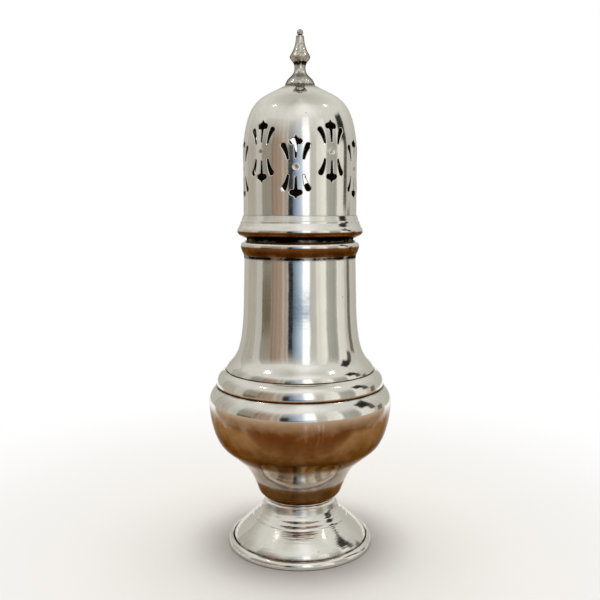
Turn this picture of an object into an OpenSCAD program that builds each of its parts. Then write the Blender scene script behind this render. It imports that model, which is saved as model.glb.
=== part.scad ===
// Sugar caster: a baluster body on a spread foot, with a pierced cover that lifts off.
// Millimetres, +Z up, origin at the middle of the face it stands on.
// Each piece is spun, turned or cast on its own, then soldered or pushed onto the next.

/* [Overall] */
// Height from the standing face to the tip of the finial; the neck takes up a change
caster_h = 185; // [180:0.5:200]

/* [Sheet and fits] */
// Thickness of the spun sheet
sheet_t = 0.9; // [0.7:0.1:1.1]
// Radial clearance of the sleeve inside the neck bezel and inside the cover rim
sleeve_gap = 0.05; // [0.02:0.01:0.1]
// Clearance round the stud in the dome and in the washer
stud_gap = 0.15; // [0.1:0.05:0.3]
// Play between the stud's thread and the nut or the finial
thread_gap = 0.02; // [0.01:0.01:0.04]

/* [Foot] */
// Diameter over the foot rim
foot_d = 53.4; // [50:0.2:60]
// Radial width of the foot rim
foot_rim_w = 2; // [1.5:0.1:2.5]
// Height of the foot rim
foot_rim_h = 2.7; // [2.2:0.1:3.4]
// Height of the foot up to its waist
foot_h = 17.3; // [15:0.1:19]
// Diameter of the waist
waist_d = 25.8; // [22:0.2:26]

/* [Waist ring] */
// Height of the ring between foot and bowl
waist_ring_h = 0.9; // [0.6:0.1:1.6]
// How far the ring's bead stands out from the waist
waist_ring_proud = 0.5; // [0.3:0.05:0.8]
// How far the ring reaches in behind the foot's edge
waist_ring_lip = 1; // [0.6:0.1:2]

/* [Bowl] */
// Height of the bowl from its underside to its edge
bowl_h = 41.3; // [39.8:0.1:45]
// Diameter at the belly
bowl_d = 66.5; // [62:0.5:74]
// Height of the belly above the underside
bowl_belly_h = 35.8; // [34:0.1:37]
// Diameter where the side turns from hollow to full
bowl_turn_d = 56.1; // [53:0.1:58]
// Height of that turn above the underside
bowl_turn_h = 18.8; // [17.5:0.1:21]
// Diameter just above the rounded underside
bowl_base_d = 30.8; // [29:0.1:33]
// Radius of the rounded underside
bowl_base_r = 3.3; // [2.4:0.1:3.6]
// Diameter of the edge under the shoulder ring
bowl_edge_d = 60.7; // [58:0.1:61.5]

/* [Shoulder ring] */
// Height of the ring that joins bowl and neck
shoulder_h = 5.7; // [4.5:0.1:7]
// Height of the ring's upright part
shoulder_band_h = 0.7; // [0.4:0.1:1.2]
// Thickness of the ring where it carries the neck
shoulder_t = 1.4; // [1:0.1:2]

/* [Neck] */
// Diameter of the neck's spread lower edge
neck_foot_d = 53.8; // [51:0.2:55]
// How much taller the spread part is than the tapered part above it
neck_flare_more = 6.2; // [3:0.2:9]
// Diameter where the spread part ends
neck_flare_d = 40.9; // [40.3:0.1:41.8]
// Diameter of the mouth
neck_d = 40.1; // [37:0.1:41]

/* [Neck ring and bezel] */
// How far the ring round the mouth stands out from the neck
neck_ring_proud = 1.25; // [1.25:0.05:1.9]
// Height of the ring
neck_ring_h = 5.2; // [3.8:0.1:6]
// Radius of the bead at the top of the ring
neck_bead_r = 1.7; // [1.3:0.05:1.9]
// Thickness of the bezel inside the mouth
bezel_t = 0.8; // [0.6:0.1:1.1]
// How far the bezel stands above the ring
bezel_proud = 1; // [0.8:0.1:3]
// How far the bezel reaches down inside the neck
bezel_in = 9; // [7:0.5:12]

/* [Cover rim] */
// Diameter over the rounded nose of the rim
rim_d = 45; // [44.4:0.1:47]
// Height of the rim
rim_h = 8; // [7.4:0.1:9]
// Radius of the nose
rim_nose_r = 1.8; // [1.2:0.05:2]
// Height of the nose's centre above the seat
rim_nose_h = 2.6; // [2.3:0.05:2.9]
// Height of the ledge that the dome stands on
rim_ledge_h = 3.8; // [3.4:0.1:4.2]
// Thickness of the rim's upper edge round the dome
rim_lip_t = 0.25; // [0.2:0.05:0.4]
// Height of the sloping lip below that edge
rim_lip_h = 1.8; // [1.5:0.1:2.2]
// How much thicker the lip is at its lower end
rim_lip_spread = 0.55; // [0.4:0.05:0.7]
// Width of the small step under the lip
rim_step = 0.2; // [0.15:0.05:0.3]

/* [Cover sleeve] */
// Thickness of the push-in sleeve
sleeve_t = 0.8; // [0.6:0.1:1.1]
// How far the sleeve reaches down into the bezel
sleeve_in = 8.5; // [6:0.5:10]

/* [Dome] */
// Diameter of the dome's straight wall
dome_d = 40.4; // [39.8:0.1:41.5]
// Height of the straight wall above the rim
dome_wall_h = 22.8; // [22.6:0.1:25]
// Height of the rounded top
dome_top_h = 22.1; // [20.5:0.1:25]
// Diameter where the shoulder of the dome gives way to the slope of its top
dome_turn_d = 33.7; // [32:0.1:35]
// Height of that change above the straight wall
dome_turn_h = 14.4; // [13:0.1:15.5]
// Diameter of the flat crown under the finial
crown_d = 11.2; // [10.4:0.1:13]

/* [Piercing] */
// Number of motifs in each of the two rows
row_count = 5; // [4:1:5]
// Height of the lower row's centre above the rim
row_h = 16; // [15.5:0.1:16.5]
// How much higher the upper row's centre sits
row_step = 5.3; // [4.5:0.1:5.8]
// Distance of the spade's tip from the motif's centre
spade_tip = 10.3; // [9.4:0.1:10.4]
// Distance of the spade's widest part from the motif's centre
spade_wide = 8.3; // [7.9:0.1:8.5]
// Width of the spade
spade_w = 4.3; // [3.4:0.1:4.6]
// Radius of the spade's two lobes
spade_lobe_r = 0.9; // [0.6:0.05:1]
// Width of the stem below the spade
stem_w = 1; // [0.7:0.1:1.3]
// Width of the stem at its narrow end
stem_end_w = 0.5; // [0.3:0.1:0.7]
// Distance of the stem's narrow end from the motif's centre
stem_end = 3; // [2.6:0.1:3.8]
// Radius of the drop's round head
drop_r = 0.9; // [0.6:0.05:1]
// Sideways distance of the drop's head from the motif's middle line
drop_x = 4.1; // [3.8:0.1:4.4]
// Distance up or down of the drop's head from the motif's centre
drop_y = 7; // [6.6:0.1:7.3]
// Sideways distance of the drop's narrow end
tail_x = 2.6; // [2.2:0.1:2.8]
// Distance up or down of the drop's narrow end
tail_y = 2.5; // [2.1:0.1:3]
// Width of the drop at its narrow end
tail_w = 0.6; // [0.3:0.1:0.8]
// Radius of the punched dimple in the middle
dimple_r = 1; // [0.7:0.05:1.2]
// Depth of the dimple
dimple_deep = 0.2; // [0.1:0.05:0.3]

/* [Finial] */
// Height of the finial above the crown
finial_h = 19.4; // [18:0.2:23]
// Diameter of the finial's foot
finial_foot_d = 10.5; // [9:0.1:11]
// Height of the upright edge of the foot
finial_edge_h = 0.5; // [0.3:0.1:0.8]
// Height of the slender waist above the crown
finial_waist_h = 6.3; // [6:0.1:7]
// Diameter of that waist
finial_waist_d = 3.9; // [3.6:0.1:5]
// Height of the knop above the crown
finial_knop_h = 10; // [9.6:0.1:11.5]
// Diameter of the knop
finial_knop_d = 7.2; // [6:0.1:9]
// Diameter of the spike below its ball
finial_spike_d = 2.8; // [2.2:0.1:3.2]
// Radius of the ball at the tip
finial_ball_r = 1.1; // [0.9:0.05:1.4]

/* [Finial fixing] */
// Diameter of the threaded stud
stud_d = 2.5; // [2:0.1:3]
// Depth of the stud in the finial
stud_in = 3.2; // [2.6:0.1:3.6]
// Length of stud showing under the nut
stud_tail = 0.8; // [0.4:0.1:1.5]
// Diameter of the washer inside the dome
washer_d = 7.5; // [6.5:0.1:8]
// Thickness of the washer
washer_t = 0.7; // [0.5:0.1:1.2]
// Width of the nut across its flats
nut_w = 5; // [4.5:0.1:5.5]
// Height of the nut
nut_h = 2; // [1.6:0.1:2.6]

/* [Hidden] */
$fn = 96;

// Radii taken from the diameters above
foot_r = foot_d / 2;
waist_r = waist_d / 2;
neck_r = neck_d / 2;
neck_foot_r = neck_foot_d / 2;
bowl_r = bowl_d / 2;
bowl_edge_r = bowl_edge_d / 2;
rim_r = rim_d / 2;
dome_r = dome_d / 2;
crown_r = crown_d / 2;
stud_r = stud_d / 2;
bezel_r = neck_r - sheet_t;
bore_r = bezel_r - bezel_t;
sleeve_r = bore_r - sleeve_gap;

// Height of the neck from the shoulder to its mouth: what the other heights leave of the whole
body_below_h = foot_h + waist_ring_h + bowl_h + shoulder_h;
cover_h = rim_h + dome_wall_h + dome_top_h + finial_h;
neck_h = caster_h - body_below_h - bezel_proud - cover_h;
neck_flare_h = (neck_h - neck_ring_h + neck_flare_more) / 2;

// Levels, each piece standing on the one below it
waist_z = foot_h;
bowl_z = waist_z + waist_ring_h;
shoulder_z = bowl_z + bowl_h;
neck_z = shoulder_z + shoulder_h;
mouth_z = neck_z + neck_h;
seat_z = mouth_z + bezel_proud;
ledge_z = seat_z + rim_ledge_h;
dome_z = seat_z + rim_h;
wall_top_z = dome_z + dome_wall_h;
crown_z = wall_top_z + dome_top_h;
washer_z = crown_z - sheet_t - washer_t;
nut_z = washer_z - nut_h;

// Points of a cubic curve from a to d, pulled towards b and c
function curve(a, b, c, d, n) = [for (i = [0:n]) let (t = i / n, s = 1 - t)
  s * s * s * a + 3 * s * s * t * b + 3 * s * t * t * c + t * t * t * d];

// Points of a circular arc about a centre
function arc(c, r, from, to, n) = [for (i = [0:n]) let (w = from + (to - from) * i / n)
  c + r * [cos(w), sin(w)]];

// A list without its first point, used where two curves share it
function tail(p) = [for (i = [1:len(p) - 1]) p[i]];

// A list in the other direction
function back(p) = [for (i = [len(p) - 1:-1:0]) p[i]];

// Direction square to an outline at one of its points, away from the axis for a rising line
function square_to(p, i) = let (
    d = p[min(i + 1, len(p) - 1)] - p[max(i - 1, 0)]
  ) [d[1], -d[0]] / norm(d);

// The same line, one sheet thickness further in
function inset(p) = [for (i = [0:len(p) - 1]) p[i] - sheet_t * square_to(p, i)];

// The end of a sheet cut level, at the height of the outline's own end
function level_cut(p, i) = [p[i][0] - sheet_t / square_to(p, i)[0], p[i][1]];

// The foot's outer line: upright behind the rim, spreading slope, upright waist
foot_line = concat(
  [[foot_r - foot_rim_w, 0]],
  curve(
    [foot_r - foot_rim_w, foot_rim_h - 0.1],
    [foot_r - foot_rim_w - 2, foot_rim_h + 4.3],
    [waist_r + 0.3, foot_h - 5],
    [waist_r, foot_h - 0.7],
    16),
  [[waist_r, foot_h]]);

module foot() {
  color([0.83, 0.82, 0.78])
    rotate_extrude()
      polygon(concat(foot_line, back(inset(foot_line))));
}

// Rounded wire soldered round the foot, which the caster stands on
module foot_rim() {
  in_r = foot_r - foot_rim_w;
  round_h = foot_rim_h - 0.8;
  color([0.83, 0.82, 0.78])
    rotate_extrude()
      polygon(concat(
        [[in_r, 0], [foot_r - 0.15, 0], [foot_r, 0.2]],
        curve([foot_r, 0.8], [foot_r, 0.8 + round_h * 0.5],
          [in_r + foot_rim_w * 0.6, foot_rim_h - 0.1], [in_r + 0.3, foot_rim_h], 10),
        [[in_r, foot_rim_h - 0.2]]));
}

// Beaded ring that joins the foot's waist to the underside of the bowl
module waist_ring() {
  h = waist_ring_h / 2;
  color([0.83, 0.82, 0.78])
    rotate_extrude()
      translate([0, waist_z])
        polygon(concat(
          [[waist_r - sheet_t - waist_ring_lip, 0]],
          curve([waist_r, 0], [waist_r + waist_ring_proud * 1.33, h * 0.4],
            [waist_r + waist_ring_proud * 1.33, h * 1.6], [waist_r, 2 * h], 12),
          [[waist_r - sheet_t - waist_ring_lip, 2 * h]]));
}

// The bowl's outer line: flat underside, rounded base, hollow then full side, turned-in edge
bowl_lean = 19;
bowl_base = [bowl_base_d / 2, bowl_z + bowl_base_r * (1 - sin(bowl_lean))];
bowl_turn = [bowl_turn_d / 2, bowl_z + bowl_turn_h];
bowl_belly = [bowl_r, bowl_z + bowl_belly_h];
bowl_edge = [bowl_edge_r, shoulder_z];
bowl_slope = [1.1, 1] / norm([1.1, 1]);
bowl_low = bowl_turn[1] - bowl_base[1];
bowl_high = bowl_belly_h - bowl_turn_h;
bowl_line = concat(
  [[0, bowl_z]],
  arc(bowl_base + bowl_base_r * [-cos(bowl_lean), sin(bowl_lean)], bowl_base_r,
    -90, -bowl_lean, 8),
  tail(curve(bowl_base,
    bowl_base + 0.65 * bowl_low * [sin(bowl_lean), cos(bowl_lean)],
    bowl_turn - 0.55 * bowl_low * bowl_slope,
    bowl_turn, 12)),
  tail(curve(bowl_turn,
    bowl_turn + 0.32 * bowl_high * bowl_slope,
    bowl_belly - [0, 0.24 * bowl_high],
    bowl_belly, 14)),
  tail(curve(bowl_belly,
    bowl_belly + [0, 0.4 * (bowl_h - bowl_belly_h)],
    bowl_edge + 0.42 * (bowl_r - bowl_edge_r) * [1, -1],
    bowl_edge, 8)));

module bowl() {
  last = len(bowl_line) - 1;
  inner = inset(bowl_line);
  color([0.83, 0.82, 0.78])
    rotate_extrude()
      polygon(concat(
        bowl_line,
        [level_cut(bowl_line, last)],
        back([for (i = [0:last - 1]) inner[i]])));
}

// Quarter-round moulding over the joint of bowl and neck
module shoulder_ring() {
  low_r = bowl_edge_r - 0.1;
  top_r = neck_foot_r + 0.25;
  color([0.83, 0.82, 0.78])
    rotate_extrude()
      translate([0, shoulder_z])
        polygon(concat(
          [[low_r - 1.3, 0], [low_r, 0]],
          curve([low_r + 0.1, shoulder_band_h],
            [low_r, shoulder_h * 0.55],
            [top_r + 0.6 * (low_r - top_r), shoulder_h - 0.8],
            [top_r, shoulder_h], 12),
          [[neck_foot_r - shoulder_t, shoulder_h]]));
}

// The neck's outer line: spread lower edge, slight taper, straight mouth
neck_straight_z = mouth_z - neck_ring_h - 2;
neck_bend = [neck_flare_d / 2, neck_z + neck_flare_h];
neck_taper = [neck_r, neck_straight_z] - neck_bend;
neck_line = concat(
  curve([neck_foot_r, neck_z],
    [neck_foot_r - 1.1, neck_z + 0.23 * neck_flare_h],
    neck_bend - 0.97 * neck_flare_h * neck_taper / norm(neck_taper),
    neck_bend, 16),
  [[neck_r, neck_straight_z], [neck_r, mouth_z]]);

module neck() {
  inner = inset(neck_line);
  color([0.83, 0.82, 0.78])
    rotate_extrude()
      polygon(concat(neck_line, back(tail(inner)), [level_cut(neck_line, 0)]));
}

// Moulding round the mouth: small fillet, full sloping band, bead that rounds over to the mouth
module neck_ring() {
  bead_r = max(neck_bead_r, neck_ring_proud);
  bead_in = bead_r - neck_ring_proud;
  top_turn = acos(bead_in / bead_r);
  bead = [neck_r - bead_in, neck_ring_h - bead_r * sin(top_turn)];
  band_from = [neck_r + 0.15, 0.3];
  band_to = bead + bead_r * [cos(6), -sin(6)];
  pull = 0.35 * norm(band_to - band_from);
  color([0.83, 0.82, 0.78])
    rotate_extrude()
      translate([0, mouth_z - neck_ring_h])
        polygon(concat(
          [[neck_r, 0], [band_from[0], 0]],
          curve(band_from, band_from + pull * [sin(30), cos(30)],
            band_to - pull * [sin(6), cos(6)], band_to, 8),
          tail(arc(bead, bead_r, -6, top_turn, 12))));
}

// Tube inside the mouth; the cover rests on its upper edge
module neck_bezel() {
  color([0.7, 0.69, 0.65])
    translate([0, 0, mouth_z - bezel_in])
      difference() {
        cylinder(r = bezel_r, h = bezel_in + bezel_proud);
        translate([0, 0, -1])
          cylinder(r = bore_r, h = bezel_in + bezel_proud + 2);
      }
}

// Sleeve that pushes into the bezel and carries the cover
module cover_sleeve() {
  h = sleeve_in + rim_ledge_h;
  color([0.76, 0.75, 0.71])
    translate([0, 0, seat_z - sleeve_in])
      difference() {
        cylinder(r = sleeve_r, h = h);
        translate([0, 0, -1])
          cylinder(r = sleeve_r - sleeve_t, h = h + 2);
      }
}

// Moulded rim of the cover: flat seat, full rounded nose, slope, sloping lip round the dome
module cover_rim() {
  seat_end = [bezel_r + 0.2, 0];
  nose = [rim_r - rim_nose_r, rim_nose_h];
  nose_from = nose + rim_nose_r * [cos(60), -sin(60)];
  nose_to = nose + rim_nose_r * [cos(30), sin(30)];
  lip_r = dome_r + rim_lip_t;
  lip_z = rim_h - rim_lip_h;
  step = [lip_r + rim_lip_spread + rim_step, lip_z - 0.1];
  under_l = norm(nose_from - seat_end);
  slope_h = step[1] - nose_to[1];
  color([0.83, 0.82, 0.78])
    rotate_extrude()
      translate([0, seat_z])
        polygon(concat(
          [[bore_r, 0]],
          curve(seat_end, seat_end + 0.2 * under_l * [cos(15), sin(15)],
            nose_from - 0.3 * under_l * [sin(60), cos(60)], nose_from, 8),
          tail(arc(nose, rim_nose_r, -60, 30, 12)),
          tail(curve(nose_to, nose_to + 0.35 * slope_h * [-sin(30), cos(30)],
            step + 0.35 * slope_h * [sin(8), -cos(8)], step, 8)),
          [[lip_r + rim_lip_spread, lip_z], [lip_r, rim_h], [dome_r, rim_h],
            [dome_r, rim_ledge_h], [bore_r, rim_ledge_h]]));
}

// The dome's outer line: straight wall, rounded shoulder, slope to the flat crown
dome_turn = [dome_turn_d / 2, wall_top_z + dome_turn_h];
dome_slope = [-0.7, 1] / norm([-0.7, 1]);
crown_slope = [-2, 1] / norm([-2, 1]);
crown_rise = dome_top_h - dome_turn_h;
dome_line = concat(
  [[dome_r, ledge_z]],
  curve([dome_r, wall_top_z],
    [dome_r, wall_top_z + 0.21 * dome_turn_h],
    dome_turn - 0.29 * dome_turn_h * dome_slope,
    dome_turn, 8),
  tail(curve(dome_turn,
    dome_turn + 0.53 * crown_rise * dome_slope,
    [crown_r, crown_z] - 1.17 * crown_rise * crown_slope,
    [crown_r, crown_z], 10)),
  [[stud_r + stud_gap, crown_z]]);

// One drop-shaped slot: round head and a curved, narrowing tail
module drop_slot() {
  head = [drop_x, drop_y];
  end = [tail_x, tail_y];
  bend = [tail_x + 0.25 * (drop_x - tail_x), drop_y - 0.42 * (drop_y - tail_y)];
  n = 5;
  mid = [for (i = [0:n]) let (t = i / n, s = 1 - t)
    s * s * head + 2 * s * t * bend + t * t * end];
  half = [for (i = [0:n]) drop_r + (tail_w / 2 - drop_r) * i / n];
  side = [for (i = [0:n]) half[i] * square_to(mid, i)];
  turn = atan2(side[0][1], side[0][0]);
  polygon(concat(
    [for (i = [n:-1:1]) mid[i] + side[i]],
    arc(head, drop_r, turn, turn - 180, 8),
    [for (i = [1:n]) mid[i] - side[i]]));
}

// Where the round of a lobe begins, next to the stem, and ends, next to the tip
lobe_from = -115;
lobe_to = 60;

// One spade-shaped opening with its stem
module spade_slot() {
  lobe = [spade_w / 2 - spade_lobe_r, spade_wide];
  half = concat(
    [[stem_end_w / 2, stem_end], [stem_w / 2, spade_wide - spade_lobe_r - 0.25]],
    arc(lobe, spade_lobe_r, lobe_from, lobe_to, 7),
    [[0.55, spade_tip - 0.75]]);
  polygon(concat(
    half,
    [[0, spade_tip]],
    [for (p = back(half)) [-p[0], p[1]]]));
}

// All the openings of one motif, the same above and below its centre
module motif() {
  for (up = [0, 1])
    mirror([0, up]) {
      spade_slot();
      for (side = [0, 1])
        mirror([side, 0])
          drop_slot();
    }
}

// Ball that presses one dimple into the wall
module dimple() {
  ball_r = (dimple_r * dimple_r + dimple_deep * dimple_deep) / (2 * dimple_deep);
  translate([0, -(dome_r - dimple_deep + ball_r), 0])
    sphere(r = ball_r);
}

module dome() {
  color([0.83, 0.82, 0.78])
    difference() {
      rotate_extrude()
        polygon(concat(dome_line, back(inset(dome_line))));
      for (i = [0:2 * row_count - 1])
        rotate([0, 0, i * 180 / row_count])
          translate([0, 0, dome_z + row_h + (i % 2) * row_step]) {
            translate([0, -dome_r + 4, 0])
              rotate([90, 0, 0])
                linear_extrude(height = 5)
                  motif();
            dimple();
          }
    }
}

// How far below its centre the ball meets the spike, as a share of its radius
ball_neck = 0.8;

// Cast finial: bell foot, slender waist, knop, spike and ball
module finial() {
  foot_fr = finial_foot_d / 2;
  waist_fr = finial_waist_d / 2;
  knop_fr = finial_knop_d / 2;
  spike_fr = finial_spike_d / 2;
  ball_z = finial_h - finial_ball_r;
  notch_z = ball_z - ball_neck * finial_ball_r;
  bell_h = finial_waist_h - finial_edge_h;
  bulb_h = finial_knop_h - finial_waist_h;
  spike_h = notch_z - 0.3 - finial_knop_h;
  hole_r = stud_r + thread_gap;
  color([0.66, 0.64, 0.58])
    rotate_extrude()
      translate([0, crown_z])
        polygon(concat(
          [[0, stud_in], [hole_r, stud_in], [hole_r, 0], [foot_fr, 0]],
          curve([foot_fr, finial_edge_h],
            [foot_fr - 0.8, finial_edge_h + 0.5 * bell_h],
            [waist_fr, finial_edge_h + 0.47 * bell_h],
            [waist_fr, finial_waist_h], 14),
          tail(curve([waist_fr, finial_waist_h],
            [waist_fr, finial_waist_h + 0.6 * bulb_h],
            [knop_fr, finial_knop_h - 0.28 * bulb_h],
            [knop_fr, finial_knop_h], 10)),
          tail(curve([knop_fr, finial_knop_h],
            [knop_fr - 0.42, finial_knop_h + 0.2 * spike_h],
            [spike_fr + 0.1, finial_knop_h + 0.36 * spike_h],
            [spike_fr, finial_knop_h + spike_h], 14)),
          arc([0, ball_z], finial_ball_r, -asin(ball_neck), 90, 14)));
}

// Threaded stud that holds the finial, drawn as a plain rod
module finial_stud() {
  color([0.72, 0.6, 0.35])
    translate([0, 0, nut_z - stud_tail])
      cylinder(r = stud_r, h = crown_z + stud_in - nut_z + stud_tail);
}

// Flat washer under the crown
module finial_washer() {
  color([0.76, 0.75, 0.71])
    translate([0, 0, washer_z])
      difference() {
        cylinder(d = washer_d, h = washer_t);
        translate([0, 0, -1])
          cylinder(r = stud_r + stud_gap, h = washer_t + 2);
      }
}

// Hexagon nut inside the dome
module finial_nut() {
  color([0.72, 0.6, 0.35])
    translate([0, 0, nut_z])
      difference() {
        cylinder(d = nut_w / cos(30), h = nut_h, $fn = 6);
        translate([0, 0, -1])
          cylinder(r = stud_r + thread_gap, h = nut_h + 2);
      }
}

foot();
foot_rim();
waist_ring();
bowl();
shoulder_ring();
neck();
neck_ring();
neck_bezel();
cover_sleeve();
cover_rim();
dome();
finial();
finial_stud();
finial_washer();
finial_nut();
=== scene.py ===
import math

import bpy
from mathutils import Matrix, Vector
from mathutils.geometry import delaunay_2d_cdt


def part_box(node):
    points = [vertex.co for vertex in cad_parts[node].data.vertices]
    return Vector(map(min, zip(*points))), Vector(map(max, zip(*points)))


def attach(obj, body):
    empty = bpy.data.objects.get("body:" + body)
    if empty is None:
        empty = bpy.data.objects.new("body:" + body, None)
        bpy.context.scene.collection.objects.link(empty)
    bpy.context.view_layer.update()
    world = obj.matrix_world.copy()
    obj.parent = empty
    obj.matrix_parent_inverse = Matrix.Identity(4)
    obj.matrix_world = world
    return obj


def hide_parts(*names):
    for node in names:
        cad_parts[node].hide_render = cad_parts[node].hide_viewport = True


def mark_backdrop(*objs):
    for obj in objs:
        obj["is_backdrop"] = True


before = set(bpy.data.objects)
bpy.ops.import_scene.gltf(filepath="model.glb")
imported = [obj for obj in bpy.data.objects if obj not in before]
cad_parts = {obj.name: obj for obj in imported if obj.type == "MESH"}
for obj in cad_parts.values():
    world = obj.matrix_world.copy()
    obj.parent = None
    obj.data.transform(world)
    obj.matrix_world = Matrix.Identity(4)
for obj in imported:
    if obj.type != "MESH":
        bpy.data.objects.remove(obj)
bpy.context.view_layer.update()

# The pieces are sized in millimetres, in the frame of the CAD part: +Z up, standing at z = 0.
# The stage is sized in metres.
MM = 0.001
TINY = 1e-6
# Thickness of the silver sheet
SHEET = 0.9
# Facets round a turned piece, and the spacing of points along its outer and inner lines
TURNS = 180
OUTER_STEP, INNER_STEP = 0.6, 2.0


def span(node):
    """Outer radius, lowest and highest level of a turned CAD node, in millimetres."""
    low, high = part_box(node)
    return high.x / MM, low.z / MM, high.z / MM


FOOT_R, FLOOR_Z, _ = span("foot")
FOOT_RIM_R, _, FOOT_RIM_Z = span("foot_rim")
WAIST_BEAD_R, WAIST_Z, BOWL_Z = span("waist_ring")
BOWL_R, _, SHOULDER_Z = span("bowl")
NECK_FOOT_R, NECK_Z, MOUTH_Z = span("neck")
NECK_RING_R, NECK_RING_Z, _ = span("neck_ring")
BEZEL_R, BEZEL_Z, SEAT_Z = span("neck_bezel")
SLEEVE_R, SLEEVE_Z, LEDGE_Z = span("cover_sleeve")
RIM_R, _, DOME_Z = span("cover_rim")
DOME_R, _, CROWN_Z = span("dome")
FINIAL_R, _, TIP_Z = span("finial")

WAIST_PROUD = 0.5
WAIST_R = WAIST_BEAD_R - WAIST_PROUD
BOWL_EDGE_R = 30.35
NECK_R = BEZEL_R + SHEET
SLEEVE_GAP, SLEEVE_WALL = 0.05, 0.8
BORE_R = SLEEVE_R + SLEEVE_GAP
CROWN_R = 5.6
WALL_TOP_Z = DOME_Z + 22.8
STUD_HOLE_R = 1.4


# Outlines: lines of (radius, level) points

def spread(start, end, n):
    """Even steps from start to end, n of them."""
    return [start + (end - start) * k / n for k in range(n + 1)]


def curve(a, b, c, d, n=24):
    """Points of a cubic curve from a to d, pulled towards b and c."""
    points = []
    for t in spread(0, 1, n):
        s = 1 - t
        w = (s * s * s, 3 * s * s * t, 3 * s * t * t, t * t * t)
        points.append(tuple(sum(k * p[m] for k, p in zip(w, (a, b, c, d))) for m in (0, 1)))
    return points


def bow(a, b, c, n):
    """Points of a simpler curve from a to c, pulled towards b."""
    points = []
    for t in spread(0, 1, n):
        s = 1 - t
        points.append(tuple(s * s * a[m] + 2 * s * t * b[m] + t * t * c[m] for m in (0, 1)))
    return points


def unit(v):
    length = math.hypot(*v)
    return (v[0] / length, v[1] / length)


def way(degrees):
    """Direction at an angle, from 0 for outward to 90 for up."""
    return (math.cos(math.radians(degrees)), math.sin(math.radians(degrees)))


def along(p, v, k):
    return (p[0] + v[0] * k, p[1] + v[1] * k)


def arc(centre, r, start, end, n=16):
    """Points of a circular arc between two angles."""
    return [along(centre, way(w), r) for w in spread(start, end, n)]


def beside(a, b):
    """Direction square to the way from a to b, on its right."""
    d = unit((b[0] - a[0], b[1] - a[1]))
    return (d[1], -d[0])


def square_to(line, i):
    """Direction square to a line at one of its points, outward where the line rises."""
    return beside(line[max(i - 1, 0)], line[min(i + 1, len(line) - 1)])


def way_out(loop, i):
    """Direction out of a closed line at one of its points."""
    return beside(loop[i - 1], loop[(i + 1) % len(loop)])


def inset(line):
    """The same line, one sheet thickness further in."""
    return [along(p, square_to(line, i), -SHEET) for i, p in enumerate(line)]


def eased(line, r, axis=True):
    """Breaks every sharp corner of a closed line with a small round of about radius r.

    With axis, corners on the axis of the lathe stay as they are."""
    sharp, share, steps = 14, 0.4, 5
    out = []
    for i, p in enumerate(line):
        a, b = line[i - 1], line[(i + 1) % len(line)]
        u, v = (a[0] - p[0], a[1] - p[1]), (b[0] - p[0], b[1] - p[1])
        lu, lv = math.hypot(*u), math.hypot(*v)
        if min(lu, lv) < TINY:
            continue
        turn = math.degrees(math.acos(max(-1, min(1, -(u[0] * v[0] + u[1] * v[1]) / (lu * lv)))))
        if turn < sharp or (axis and p[0] < TINY):
            out.append(p)
            continue
        k = min(r, share * lu, share * lv)
        out += bow(along(p, unit(u), k), p, along(p, unit(v), k), steps)
    return out


def filled(line, step, closed=False):
    """Adds points so that no two neighbours are further apart than step."""
    out = []
    for i in range(len(line) if closed else len(line) - 1):
        a, b = line[i], line[(i + 1) % len(line)]
        n = max(1, math.ceil(math.dist(a, b) / step))
        out += [(a[0] + (b[0] - a[0]) * k / n, a[1] + (b[1] - a[1]) * k / n) for k in range(n)]
    return out if closed else out + [line[-1]]


def rippled(line, spacing, height, calm):
    """A fine line with the turning tool's ripples, which die away over calm at both ends."""
    run = [0]
    for a, b in zip(line, line[1:]):
        run.append(run[-1] + math.dist(a, b))
    out = []
    for i, p in enumerate(line):
        ease = min(1, run[i] / calm, (run[-1] - run[i]) / calm)
        wave = math.sin(2 * math.pi * run[i] / spacing)
        out.append(along(p, square_to(line, i), height * ease * wave))
    return out


# Darkening at the joints: radius, level, width and strength. It is mostly dirt that a cloth can't
# reach; the lines under the cover rim and at the foot of the dome are painted shade, and the wide
# band on the foot below the waist is a painted reflection of the brown bowl
JOINTS = [
    (FOOT_R, FOOT_RIM_Z, 0.45, 1.1),
    # painted reflection of the brown bowl, on the foot below the waist
    (WAIST_R + 0.6, WAIST_Z - 2.0, 1.5, 0.5),
    (WAIST_R, BOWL_Z, 0.4, 0.7),
    (BOWL_EDGE_R, SHOULDER_Z, 0.4, 0.9),
    (NECK_FOOT_R + 0.1, NECK_Z, 0.3, 0.9),
    # a dark line on the neck just under its moulding
    (NECK_R + 0.1, NECK_RING_Z - 0.25, 0.5, 2.2),
    (BEZEL_R, MOUTH_Z + 0.1, 0.45, 1.3),
    # painted shade on the bezel's top, under the cover rim
    (BEZEL_R, SEAT_Z - 0.3, 0.5, 1.5),
    # painted shade along the foot of the dome, where it meets the rim
    (DOME_R, DOME_Z, 0.3, 0.8),
    (FINIAL_R + 1.2, CROWN_Z - 0.4, 2.2, 0.55),
    (FINIAL_R, CROWN_Z, 0.6, 1.2),
    (2.3, CROWN_Z + 7.7, 0.8, 2.0),
    (0.8, CROWN_Z + 17.3, 0.55, 1.2),
]
MOST_DIRT_AND_SHADE = 1.5
# How far down a surface faces where the painted brown reflection starts, deepens and is deepest
BROWN_PAINT_START, BROWN_PAINT_DEEPER, BROWN_PAINT_DEEPEST = 0.01, 0.12, 0.4
# Share of the painted brown reflection left off low on the bowl, and the heights over which that starts and
# ends
BROWN_PAINT_LEFT_OFF = 0.75
LEFT_OFF_START, LEFT_OFF_END = (4.5, 7), (14.5, 20)


def joint_dirt_and_shade(r, z):
    thick = max(k * math.exp(-((r - jr) ** 2 + (z - jz) ** 2) / (w * w)) for jr, jz, w, k in JOINTS)
    return min(MOST_DIRT_AND_SHADE, thick)


def ramp(value, start, end):
    return min(1, max(0, (value - start) / (end - start)))


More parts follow.
